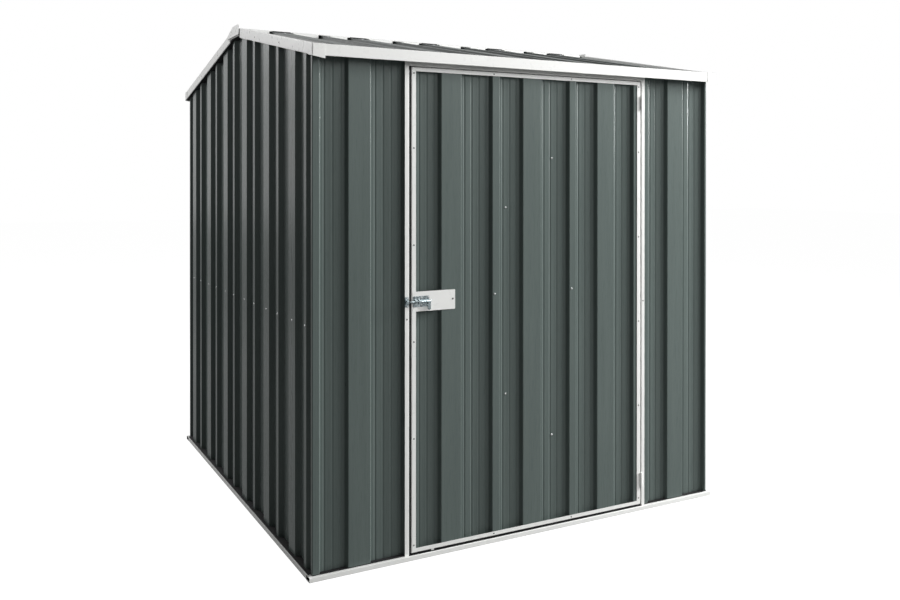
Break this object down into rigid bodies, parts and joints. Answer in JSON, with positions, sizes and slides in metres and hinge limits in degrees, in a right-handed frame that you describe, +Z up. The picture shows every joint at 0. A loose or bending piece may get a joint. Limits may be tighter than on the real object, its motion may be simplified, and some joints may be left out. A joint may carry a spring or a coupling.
{
  "type": "metal tool shed",
  "caption": "Gable-roofed garden tool shed of dark ribbed sheet steel with pale trims, a hinged door and a sliding bolt.",
  "frame": {"origin": "on the ground, under the middle of the shed", "axes": "+X runs to the right along the front, seen from outside; the door is on the -Y side; +Z is up; the ridge runs along X"},
  "size_m": [1.7436, 2.1774, 2.0114],
  "materials": {
    "sheet_paint": "semi-gloss dark green-grey",
    "pale_trim": "semi-gloss off-white",
    "frame_steel": "galvanised",
    "hinge_steel": "dark",
    "bolt_steel": "zinc plated",
    "latch_paint": "semi-gloss off-white"
  },
  "bodies": {
    "shed": {"apex_plates": "pale_trim", "back_wall_sheet_1": "sheet_paint", "back_wall_sheet_2": "sheet_paint", "barges_back": "pale_trim", "barges_front": "pale_trim", "base_rail_back": "pale_trim", "base_rail_front": "pale_trim", "base_rail_left": "pale_trim", "base_rail_right": "pale_trim", "bolt_keeper": "bolt_steel", "corner_caps": "pale_trim", "door_header": "pale_trim", "door_jamb_left": "pale_trim", "door_jamb_right": "pale_trim", "eave_angles": "frame_steel", "fascia_back": "pale_trim", "fascia_front": "pale_trim", "front_panel_left": "sheet_paint", "front_panel_right": "sheet_paint", "gable_angles": "frame_steel", "hinge_leaves_jamb": "hinge_steel", "left_wall_sheet_1": "sheet_paint", "left_wall_sheet_2": "sheet_paint", "left_wall_sheet_3": "sheet_paint", "mid_girts": "frame_steel", "ridge_beam": "frame_steel", "ridge_cap": "pale_trim", "right_wall_sheet_1": "sheet_paint", "right_wall_sheet_2": "sheet_paint", "right_wall_sheet_3": "sheet_paint", "roof_back_sheet_1": "sheet_paint", "roof_back_sheet_2": "sheet_paint", "roof_front_sheet_1": "sheet_paint", "roof_front_sheet_2": "sheet_paint"},
    "door": {"door_stile_latch": "pale_trim", "door_stile_hinge": "pale_trim", "door_rails": "pale_trim", "door_sheet_1": "sheet_paint", "door_sheet_2": "sheet_paint", "door_mid_rail": "frame_steel", "door_braces": "frame_steel", "hinge_leaves_door": "hinge_steel", "latch_plate": "latch_paint", "bolt_guides": "bolt_steel"},
    "bolt": {"bolt": "bolt_steel"}
  },
  "joints": [
    {"name": "door_swing", "type": "hinge", "parent": "shed", "child": "door", "pos_m": [0.5095, -1.0492, 0.889], "axis": [0, 0, 1], "range_deg": [0, 110]},
    {"name": "bolt_slide", "type": "slide", "parent": "door", "child": "bolt", "axis": [-1, 0, 0], "range_m": [-0.012, 0.026]}
  ]
}
